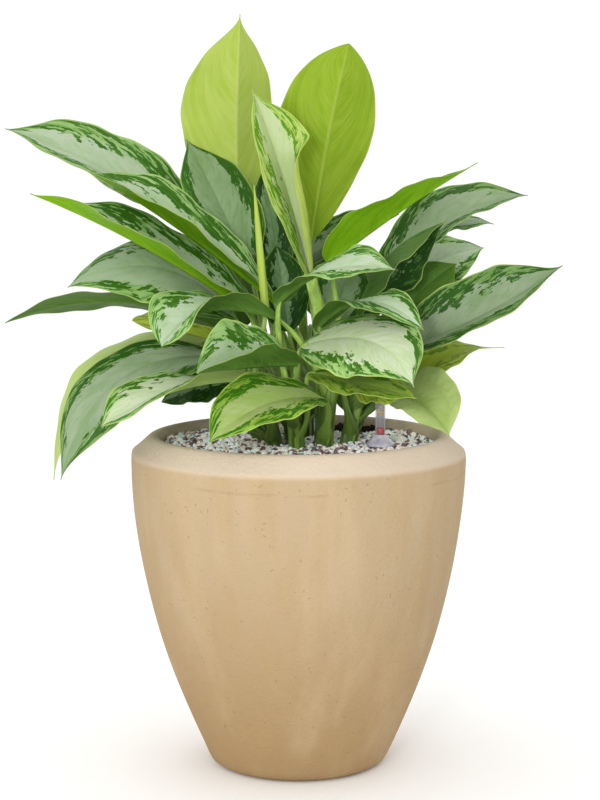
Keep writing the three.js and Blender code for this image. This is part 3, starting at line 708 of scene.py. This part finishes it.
def upperMaterial(name, look):
    g = Graph(name + "Upper")
    u, v, a, w, seed, shade = leafCoordinates(g)

    across, far, half = fleckCoordinates(g, u, v, a, seed)

    def streaks(thin, short, more, detail=3.0, rough=0.6):
        return g.noise(g.vector(g.times(across, thin), g.times(far, short),
                                g.plus(half, more)), 1, detail, rough)

    def around(value, size):
        return g.times(g.minus(value, 0.5), size)

    broad, chain, teeth = streaks(3, 3, 0, 2), streaks(10, 8, 9, 3, 0.62), streaks(34, 26, 5, 2)
    fleck, soft, mottle = streaks(13, 6.5, 21, 3, 0.6), streaks(16, 5, 33, 2), streaks(4, 3, 3)
    ends = g.plus(g.step(u, 0.84, 1.0, 0, 0.12), g.step(u, 0.12, 0.0, 0, 0.25))
    jag = g.plus(around(broad, 0.8), g.plus(around(chain, 0.8), around(teeth, 0.25)))
    t = g.plus(g.plus(a, jag), ends)
    edge = look["edge"]
    silver = g.step(t, edge + 0.03, edge - 0.03)
    # dark flecks along the veins: close together beside the silver, and fewer of them towards the margin
    beside = g.times(g.step(t, edge + look["band"] + 0.10, edge + 0.04), g.step(t, edge - 0.05, edge + 0.01))
    level = g.plus(g.plus(fleck, g.times(beside, 0.08)), around(teeth, 0.25))
    dark = g.times(g.step(level, look["fleck"] - 0.010, look["fleck"] + 0.010), g.step(a, 0.975, 0.93))
    dark = g.times(dark, g.step(t, edge - 0.03, edge))
    outer = g.mix(g.step(soft, 0.48, 0.66, 0, 0.8), look["pale"], look["mid"])
    deepest = g.mix(g.step(soft, 0.46, 0.66), look["dark"], g.mix(0.3, look["dark"], look["mid"]))
    middle = g.mix(g.step(mottle, 0.35, 0.7), look["silver"], look["silverDeep"])
    # faint green streaks and a few small specks inside the silver
    middle = g.mix(g.step(streaks(22, 5, 41, 3), 0.50, 0.66, 0, 0.40), middle, look["pale"])
    small = g.step(streaks(34, 20, 17, 2), 0.70, 0.72)
    middle = g.mix(g.times(small, 0.6), middle, look["mid"])
    colour = g.mix(silver, outer, middle)
    colour = g.mix(dark, colour, deepest)
    lines = veinLines(g, w, a)
    colour = g.mix(g.times(lines, 0.04), colour, look["mid"])
    colour = g.mix(g.step(a, 0.035, 0.015, 0, 0.35), colour, look["pale"])
    colour = g.mix(g.step(a, 0.976, 0.99, 0, 0.75), colour, tone(186, 206, 104))
    relief = g.plus(g.times(lines, -0.35), g.times(mottle, 0.5))
    return g.finish(darker(g, colour, shade), g.step(mottle, 0.3, 0.7, 0.42, 0.54), relief, 0.0004, 0.7,
                    Specular_IOR_Level=0.10)


def underMaterial(name, colours):
    g = Graph(name + "Under")
    u, v, a, w, seed, shade = leafCoordinates(g)
    cloud = g.noise(g.vector(g.times(w, 9), g.times(v, 2), seed), 1, 4, 0.6)
    fibre = g.noise(g.vector(g.times(w, 60), g.times(v, 3), seed), 1, 2, 0.5)
    lines = g.times(veinLines(g, w, a), g.step(cloud, 0.35, 0.6, 0.3, 1.0))
    colour = g.mix(g.step(cloud, 0.3, 0.7), colours[0], colours[1])
    colour = g.mix(g.step(fibre, 0.35, 0.75, 0, 0.35), colour, colours[2])
    colour = g.mix(g.times(lines, 0.22), colour, colours[2])
    colour = g.mix(g.step(a, 0.045, 0.02, 0, 0.5), colour, colours[2])
    colour = g.mix(g.step(a, 0.965, 0.99, 0, 0.45), colour, tone(184, 196, 110))
    relief = g.plus(g.times(lines, 0.6), g.times(cloud, 0.4))
    return g.finish(darker(g, colour, shade), g.step(cloud, 0.3, 0.7, 0.45, 0.58), relief, 0.0004, 0.8,
                    Specular_IOR_Level=0.10)


uppers = {name: upperMaterial(name, look) for name, look in looks.items()}
underRows = {
    "green": ((62, 96, 32), (80, 116, 44), (106, 140, 66)), "bright": ((96, 146, 4), (114, 162, 14), (140, 178, 44)),
    # lime and limeDeep are light green undersides, made brighter as painted light for leaves lit through from behind
    "lime": ((158, 182, 66), (172, 190, 88), (190, 200, 116)),
    "limeDeep": ((122, 154, 20), (140, 168, 40), (160, 182, 74)),
    "plain": ((130, 160, 76), (148, 174, 94), (166, 188, 116)),
}
unders = {name: underMaterial(name, [tone(*x) for x in row]) for name, row in underRows.items()}
unders["yellow"] = uppers["yellow"]
petioles = {
    "olive": stemMaterial("petioleOlive", tone(108, 142, 44), tone(64, 94, 26), tone(140, 172, 74)),
    "bright": stemMaterial("petioleBright", tone(140, 178, 62), tone(88, 124, 34), tone(172, 200, 100)),
}
print("leaf materials done")


# leaves

blade = {"steps": 64, "half": 14, "thick": 0.42, "rib": 1.9, "ribWidth": 2.3, "groove": 0.7, "ripple": 0.45,
         "veins": 13}
usual = dict(sway=0, lead=0, ease=1, curl=20, over=0, overEnd=0.6, peak=0.93, point=0.8, wave=3, turn=0,
             reach=0.35, sheath=0, look="silver", under="green", stalk="olive", shade=0.0)

# cane, joint, base and tip of the midrib in millimetres, arch, width, roll and fold, as in the part's source,
# and then what is unusual in the form and the looks
leaves = [
    ("F", .95, (-75, 60, 670), (-70, 35, 906), 6, 135, (30, 30), 28, dict(turn=-60, sway=-2, curl=10, heading=270,
     point=1.1, look="lime", under="lime", stalk="bright")),
    ("E", .95, (15, 30, 635), (60, 10, 870), 8, 128, (14, 10), 26, dict(sway=-3, curl=10, heading=270, peak=1.3,
     point=.2, look="lime", under="limeDeep", stalk="bright")),
    ("C", .95, (16, -10, 588), (-55, 10, 815), 8, 100, (35, 30), 41, dict(turn=-20, sway=-4, over=160, overEnd=.7,
     heading=90, peak=1.2, point=.9, look="young", under="lime", stalk="bright", sheath=5)),
    ("F", .75, (-116, 35, 645), (-350, 10, 770), 12, 131, (-30, -30), 22, dict(turn=-30, curl=10)),
    ("A", .9, (-24, -14, 561), (-244, -58, 720), 6, 107, (-22, -20), 40, dict(turn=60, peak=1.25, look="busy",
     under="bright")),
    ("A", .7, (-54, -38, 550), (-308, -92, 695), 10, 112, (-18, 60), 36, dict(turn=-30, ease=7, point=1, peak=.8,
     look="busy", under="bright")),
    ("A", .5, (-75, -10, 545), (-270, -60, 585), 42, 116, (-42, -34), 6, dict(turn=-20, curl=30, point=.6, shade=.2)),
    ("I", .8, (-70, 0, 520), (-350, -20, 540), 34, 84, (20, 20), 14, dict(point=.3)),
    ("I", .6, (-73, 60, 502), (-208, 95, 533), 4, 96, (30, 30), 10, dict(turn=-40, point=.1, look="yellow",
     under="yellow")),
    ("C", .9, (-18, -62, 546), (-155, -140, 523), 30, 94, (30, -40), 40, dict(reach=.15, ease=1.2, point=.3, lead=.2,
     peak=1.6, stalk="bright")),
    ("B", .5, (5, -72, 496), (-114, -172, 496), 2, 113, (-14, -30), 64, dict(turn=-50, reach=.1, point=.2,
     peak=1.45)),
    ("A", .3, (-95, -20, 500), (-276, -105, 364), 52, 86, (-42, -40), 10, dict(curl=30, look="shady")),
    ("I", .4, (-100, 20, 510), (-295, -20, 350), 66, 84, (-30, -20), 10, dict(turn=50, curl=30, point=1.2,
     look="plain", under="plain")),
    ("A", .25, (-26, -60, 474), (-223, -158, 434), 20, 86, (34, -34), 32, dict(reach=.15, ease=1.2, point=.5,
     peak=1.7, look="clear", under="plain")),
    ("C", .3, (30, -80, 456), (-99, -199, 422), 18, 96, (-24, -24), 24, dict(point=.5, look="fresh", under="plain",
     stalk="bright")),
    ("I", .27, (-62, 40, 466), (-170, 62, 434), 10, 62, (-40, -40), 5, dict(turn=50, reach=.1, point=.2,
     look="deep")),
    ("B", .7, (2, -62, 515), (130, -170, 480), 34, 118, (38, 26), 8, dict(turn=10, curl=30, lead=.16, point=1,
     look="clear", stalk="bright")),
    ("B", .35, (14, -66, 485), (134, -148, 465), 2, 80, (12, 12), 12, dict(turn=50, look="zesty", under="plain",
     stalk="bright")),
    ("D", .3, (62, -46, 468), (123, -62, 455), 0, 74, (18, 22), 10, dict(curl=10, point=.5, look="yellow",
     under="plain")),
    ("D", .5, (112, 6, 448), (180, -45, 407), 14, 96, (32, 32), 40, dict(look="plain", under="plain")),
    ("D", .7, (110, -20, 505), (310, -50, 610), -10, 106, (42, 42), 36, dict(turn=-20, curl=12, look="shady")),
    ("H", .45, (105, 32, 445), (253, 44, 504), 18, 84, (50, -7), 10, dict(turn=-30, curl=10, point=3, peak=.75,
     look="yellow", under="yellow")),
    ("H", .8, (112, 100, 562), (234, 128, 622), 12, 98, (38, 38), 10, dict(turn=50, point=.6)),
    ("C", .8, (35, -20, 610), (210, -40, 730), 4, 80, (-22, 10), 38, dict(turn=-70, reach=.1, curl=10, peak=.6,
     point=2, under="bright", stalk="bright", shade=.15)),
    ("D", .95, (102, 45, 573), (279, 45, 690), 28, 104, (30, 28), 26, dict(curl=12, look="shady")),
    ("H", .95, (126, 70, 609), (241, 75, 654), 20, 52, (20, 20), 10, dict(turn=20, point=.5)),
    ("D", .85, (70, -6, 539), (176, -26, 660), 24, 110, (165, 165), 42, dict(turn=-60, curl=10, point=1, look="deep",
     stalk="bright")),
    ("B", .95, (-25, -81, 567), (109, -150, 611), 20, 84, (-34, 38), 20, dict(turn=-45, reach=.1, ease=.45,
     stalk="bright")),
    ("C", .7, (20, -40, 533), (144, -142, 540), 34, 68, (-16, 34), 18, dict(turn=90, reach=.1, look="busy")),
    ("F", .85, (-60, 25, 600), (-136, 45, 757), 6, 102, (8, 16), 18, dict(turn=25, lean=.4, heading=110,
     look="dusky")),
    ("E", .7, (-22, 52, 580), (-42, 66, 726), 6, 50, (0, 0), 15, dict(heading=90, point=.6, look="deep",
     stalk="bright")),
    ("E", .5, (-35, 70, 575), (126, 115, 665), 0, 88, (22, 22), 58, dict(reach=.2, curl=12, look="shady", shade=.2)),
    ("F", .5, (-12, 26, 525), (-27, 36, 630), 6, 66, (10, 10), 20, dict(turn=-70, heading=90, point=.6, look="deep")),
    ("E", .8, (40, 8, 526), (65, 38, 616), 6, 70, (0, 0), 15, dict(heading=90, point=.6, look="dusky", stalk="bright",
     shade=.25)),
    ("H", .6, (119, 35, 536), (194, 55, 606), 6, 76, (40, 40), 15, dict(point=.6, look="leafy")),
    ("G", .9, (12, 150, 650), (20, 250, 520), 26, 112, (0, 0), 15, dict(shade=.5)),
    ("G", .7, (-70, 130, 615), (-90, 230, 490), 26, 110, (0, 0), 15, dict(shade=.5)),
    ("G", .6, (95, 130, 605), (145, 225, 490), 26, 104, (0, 0), 15, dict(shade=.5)),
    ("F", .3, (-72, 100, 470), (-205, 165, 440), 26, 90, (0, 0), 15, dict()),
    ("G", .44, (16, 125, 525), (14, 205, 400), 26, 90, (0, 0), 15, dict(turn=15, point=.2, peak=1.5, look="deep",
     shade=.4)),
    ("G", .35, (60, 105, 480), (80, 204, 392), 28, 84, (0, 0), 15, dict(point=.2, peak=1.6, look="deep", shade=.4)),
    ("G", .25, (-45, 112, 478), (-80, 204, 380), 22, 80, (0, 0), 15, dict(look="deep", shade=.4)),
]
furled = dict(cane="A", joint=.98, lean=0, turn=0, reach=.35, base=(-38, -49, 552), tip=(-52, -44, 704),
              radius=5.5, sheath=0)


def midribLine(form, u):
    # a quadratic curve from base to tip over its knee, and the directions along it, across it and out of it
    base, tip = np.array(form["base"], float), np.array(form["tip"], float)
    chord = tip - base
    heading = radians(form["heading"]) if "heading" in form else np.arctan2(chord[1], chord[0])
    level = np.array([-np.sin(heading), np.cos(heading), 0])
    ahead = unit(chord)
    aside = unit(level - ahead * level.dot(ahead))
    up = np.cross(ahead, aside)
    knee = (base + tip) / 2 + up * 2 * form["arch"] + aside * 2 * form["sway"] + chord * form["lead"]
    u = np.asarray(u, float)[:, None]
    place = (1 - u) ** 2 * base + 2 * u * (1 - u) * knee + u ** 2 * tip
    along = unit(2 * (1 - u) * (knee - base) + 2 * u * (tip - knee))
    across = unit(level - along * (along @ level)[:, None])
    return place, along, across, np.cross(along, across)


def bladeSurface(form, number, u, v):
    # half width = (sin of pi u^peak) ^ (0.6 + point u^6); each half lifts by fold and bends by curl, and over
    # rolls one half in
    place, along, across, out = midribLine(form, u)
    turn = np.radians(form["roll"][0] + (form["roll"][1] - form["roll"][0]) * u ** form["ease"])[:, None]
    side = across * np.cos(turn) + out * np.sin(turn)
    face = out * np.cos(turn) - across * np.sin(turn)
    half = np.sin(pi * np.minimum(u ** form["peak"], 1)) ** (0.6 + form["point"] * u ** 6) * form["width"] / 2
    half = np.maximum(half, 0.5)[:, None]
    reach, hand = np.abs(v)[None, :], np.sign(v)[None, :]
    uu = u[:, None]
    over = form["over"] * np.maximum(1 - (uu / form["overEnd"]) ** 8, 0) * (hand < 0)
    fold, curl = radians(form["fold"]), np.radians(form["curl"] - over) + 1e-6
    wide = (np.sin(fold) - np.sin(fold - curl * reach)) / curl * hand
    rise = (np.cos(fold - curl * reach) - np.cos(fold)) / curl
    rise = rise + form["wave"] / form["width"] * 2 * reach ** 2 * np.sin(14.5 * uu + 1.1 * hand + number)
    # finer shape: a groove over the midrib, low ridges between side veins, a small flutter at the margin
    distance = reach * half
    groove = -blade["groove"] * np.exp(-(distance / blade["ribWidth"]) ** 2) * (1 - 0.7 * uu)
    vein = uu - 0.24 * reach - 0.42 * reach ** 3
    ridge = blade["ripple"] * np.cos(2 * pi * blade["veins"] * vein) * np.sin(pi * np.clip(reach, 0, 1)) ** 0.7
    ridge = ridge * np.minimum(half / 40, 1) * np.sin(pi * np.clip(uu, 0, 1)) ** 0.3
    flutter = 0.9 * reach ** 6 * np.sin(39 * uu + 2.3 * number + hand) * np.minimum(half / 30, 1)
    lift = half * rise + groove - ridge + flutter
    points = place[:, None] + side[:, None] * (half * wide)[..., None] + face[:, None] * lift[..., None]
    return points, distance


def stalkPath(form, count):
    # the stalk climbs its stem, leaves it and swings over to the blade: one cubic curve
    cane = canes[form["cane"]]
    foot, top, along = stemFrame(cane)
    start = foot + (top - foot) * form["joint"]
    outward = np.array(form["base"], float) - start
    outward[2] = 0
    outward = unit(outward)
    outward = unit(outward - along * outward.dot(along))
    turn = radians(form["turn"])
    outward = outward * np.cos(turn) + np.cross(along, outward) * np.sin(turn)
    start = start + outward * cane["radius"] * 0.55
    leaving = unit(along + outward * form["lean"])
    if "radius" in form:
        base, tip = np.array(form["base"], float), np.array(form["tip"], float)
        end, arriving = base + (tip - base) * 0.1, unit(tip - base)
    else:
        place, direction, _, _ = midribLine(form, np.array([0.05]))
        end, arriving = place[0], direction[0]
    length = np.linalg.norm(end - start)
    a, b = start + leaving * 0.45 * length, end - arriving * form["reach"] * length
    t = np.linspace(0, 1, count)[:, None]
    swing = (1 - t) ** 3 * start + 3 * t * (1 - t) ** 2 * a + 3 * t ** 2 * (1 - t) * b + t ** 3 * end
    climb = np.linspace(-1, 0, 7)[:-1, None] * along * min(stem["clasp"], 0.9 * np.linalg.norm(start - foot)) + start
    return np.vstack([climb, swing]), outward, length


def stalkSection(form, number, sides=20, count=26):
    # a crescent that clasps the stem at the foot and turns into a grooved round stalk further up:
    # x = a cos, y = b sin - bend x^2 - groove
    path, outward, length = stalkPath(form, count)
    s = np.linspace(-6 / count, 1, len(path))
    along, out, side = framesAlong(path, outward)
    open01 = smooth01((s + 0.02) / 0.42)
    wide = (10.6 * (1 - open01) + 4.1 * open01) * (1 - 0.38 * smooth01((s - 0.35) / 0.65))
    wide = wide * smooth01((s + 0.30) / 0.12) + form["sheath"] * smooth01((s - 0.3) / 0.4)
    deep = (3.2 * (1 - open01) + 3.9 * open01) * (1 - 0.38 * smooth01((s - 0.35) / 0.65))
    deep = deep * (0.25 + 0.75 * smooth01((s + 0.28) / 0.2))
    bend = 0.055 * (1 - open01)
    angle = np.arange(sides) * 2 * pi / sides
    x = wide[:, None] * np.cos(angle)
    y = deep[:, None] * np.sin(angle) - bend[:, None] * x ** 2
    channel = 0.9 * np.exp(-(x / 1.6) ** 2) * (np.sin(angle) < -0.2) * smooth01(s / 0.25)[:, None]
    y = y + channel
    points = path[:, None] + side[:, None] * x[..., None] + out[:, None] * y[..., None]
    uv = np.stack(np.broadcast_arrays(s[:, None] * length / 100, np.abs(angle / pi - 1)[None, :]), -1)
    flat = np.vstack([points.reshape(-1, 3), path[:1], path[-1:]])
    flatUv = np.vstack([uv.reshape(-1, 2), [[0, 0], [0, 0]]])
    return flat, flatUv, cappedTube(len(path), sides, flip=True)


def buildLeaf(number, form):
    n, h = blade["steps"], blade["half"]
    s = np.linspace(0, 1, n + 1)
    u = 0.6 * s + 0.4 * (1 - np.cos(pi * s)) / 2
    q = np.linspace(-1, 1, 2 * h + 1)
    v = np.sign(q) * np.abs(q) ** 1.25
    middle, distance = bladeSurface(form, number, u, v)
    du, dv = np.gradient(middle, axis=0), np.gradient(middle, axis=1)
    normal = np.cross(du, dv)
    normal /= np.maximum(np.linalg.norm(normal, axis=-1, keepdims=True), 1e-9)
    thin = (blade["thick"] * (1 - 0.45 * np.abs(v) ** 3))[None, :, None]
    rib = (blade["rib"] * np.exp(-(distance / blade["ribWidth"]) ** 2) * (1 - 0.85 * u[:, None]))[..., None]
    upper, lower = middle + normal * thin, middle - normal * (thin + rib)
    rows, columns = n + 1, 2 * h + 1
    count = rows * columns
    points = np.vstack([upper.reshape(-1, 3), lower.reshape(-1, 3)])
    uv = np.stack(np.broadcast_arrays(u[:, None], (v[None, :] + 1) / 2), -1).reshape(-1, 2)
    index = np.arange(count).reshape(rows, columns)
    rim = np.concatenate([index[:-1, 0], index[-1, :-1], index[:0:-1, -1], index[0, :0:-1]])
    after = np.roll(rim, -1)
    wall = np.stack([rim, rim + count, after + count, after], -1)
    top = gridFaces(rows, columns)
    parts = [top, top[:, ::-1] + count, wall]
    group = np.zeros(2 * count, int)
    group[rim], group[rim + count] = 1, 2
    stalk, stalkUv, stalkParts = stalkSection(form, number)
    parts += [part + 2 * count for part in stalkParts]
    points = np.vstack([points, stalk])
    uv = np.vstack([uv, uv, stalkUv])
    group = np.append(group, np.zeros(len(stalk), int))
    values = {"seed": number * 13.7, "shade": form["shade"], "scar": 0.0}
    return meshPiece(f"{form['look']}Leaf{number:02d}", points, parts, [f"leaf_{number:02d}"],
                     [uppers[form["look"]], unders[form["under"]], petioles[form["stalk"]]],
                     which=[0, 1, 1, 2, 2, 2], uv=uv, values=values, sharp=group)


def buildFurled(number, form):
    # a rolled blade: radius grows round the section from 0.8 to 1, with a step at the seam that winds up it
    base, tip = np.array(form["base"], float), np.array(form["tip"], float)
    rows, sides = 60, 40
    u = np.linspace(0, 1, rows)
    path = base + u[:, None] * (tip - base)
    radius = 0.5 + (form["radius"] - 0.5) * np.sin(pi * (0.35 + 0.65 * u)) ** 0.9
    _, side, other = framesAlong(path, (0.31, 0.95, 0.05))
    angle = np.linspace(0, 2 * pi, sides)
    size = radius[:, None] * (0.80 + 0.20 * angle / (2 * pi))
    around = angle[None, :] + 1.6 * u[:, None] + 3.6
    points = path[:, None] + (side[:, None] * np.cos(around)[..., None]
                              + other[:, None] * np.sin(around)[..., None]) * size[..., None]
    uv = np.stack(np.broadcast_arrays(u[:, None], (angle / (2 * pi))[None, :] * 0.9 + 0.05), -1).reshape(-1, 2)
    flat = np.vstack([points.reshape(-1, 3), path[:1], path[-1:]])
    stalk, stalkUv, stalkParts = stalkSection(form, number)
    uv = np.vstack([uv, [[0, .5], [1, .5]], stalkUv])
    parts = cappedTube(rows, sides) + [part + len(flat) for part in stalkParts]
    return meshPiece("furledLeaf", np.vstack([flat, stalk]), parts, [f"leaf_{number:02d}"],
                     [unders["lime"], petioles["bright"]], which=[0, 0, 0, 1, 1, 1], uv=uv,
                     values={"seed": 3.1, "shade": 0.0, "scar": 0.0})


columns = ("cane", "joint", "base", "tip", "arch", "width", "roll", "fold")
for number, (*row, more) in enumerate(leaves, 1):
    buildLeaf(number, {**usual, "lean": 1.1 - row[1], **dict(zip(columns, row)), **more})
buildFurled(len(leaves) + 1, furled)
print("leaves done:", len(leaves) + 1)


# floor, light and camera

studio = {
    "floor": tone(251, 251, 250), "sky": (1.0, 1.0, 1.0), "skyStrength": 1.06,
    "lamps": [("keyLamp", (-1.9, -2.4, 2.2), 1.6, 6), ("topLamp", (-0.4, 0.6, 3.0), 1.8, 10),
              ("lowLamp", (-1.0, -3.0, 1.0), 1.2, 22), ("sideLamp", (2.6, -1.6, 1.1), 1.4, 2)],
    "camera": {"place": (0.002, -2.400, 0.745), "tilt": 7.14, "lens": 90},
    "bedLamp": {"place": (-0.6, -2.75, 1.10), "aim": (0.0, 0.0, 0.41), "cone": 19, "radius": 0.2, "power": 88},
}


def lookAt(obj, target):
    obj.rotation_euler = (Vector(target) - obj.location).to_track_quat("-Z", "Y").to_euler()


def buildStudio():
    angle = np.arange(96) * 2 * pi / 96
    mesh = bpy.data.meshes.new("paleFloor")
    ring = np.stack([np.cos(angle) * 12, np.sin(angle) * 12, np.zeros(96)], -1)
    mesh.from_pydata(ring.tolist(), [], [list(range(96))])
    g = Graph("paleFloor")
    at = g.place()
    cloud = g.noise(at, 40, 3)
    mesh.materials.append(g.finish(g.mix(g.step(cloud, 0.3, 0.7), studio["floor"], tone(252, 252, 251)), 0.9))
    addObject("paleFloor", mesh)
    world = bpy.data.worlds.new("softSky")
    bpy.context.scene.world = world
    world.use_nodes = True
    back = world.node_tree.nodes["Background"]
    back.inputs[0].default_value = (*studio["sky"], 1)
    back.inputs[1].default_value = studio["skyStrength"]
    for name, place, size, power in studio["lamps"]:
        lamp = bpy.data.lights.new(name, "AREA")
        lamp.shape = "DISK"
        lamp.size = size
        lamp.energy = power
        lookAt(addObject(name, lamp, place), (0, 0, 0.45))
    # a soft pool of light on the bed, which the leaves would leave dark
    bed = studio["bedLamp"]
    spot = bpy.data.lights.new("bedLamp", "SPOT")
    spot.energy = bed["power"]
    spot.spot_size = radians(bed["cone"])
    spot.spot_blend = 1.0
    spot.shadow_soft_size = bed["radius"]
    lookAt(addObject("bedLamp", spot, bed["place"]), bed["aim"])
    view = studio["camera"]
    lens = bpy.data.cameras.new("photoCamera")
    lens.lens = view["lens"]
    lens.sensor_width = 36
    lens.sensor_fit = "AUTO"
    lens.clip_end = 60
    camera = addObject("photoCamera", lens, view["place"])
    camera.rotation_euler = (radians(90 - view["tilt"]), 0, 0)
    bpy.context.scene.camera = camera
    bpy.context.scene.view_settings.view_transform = "Standard"


buildStudio()
print("all pieces in place")
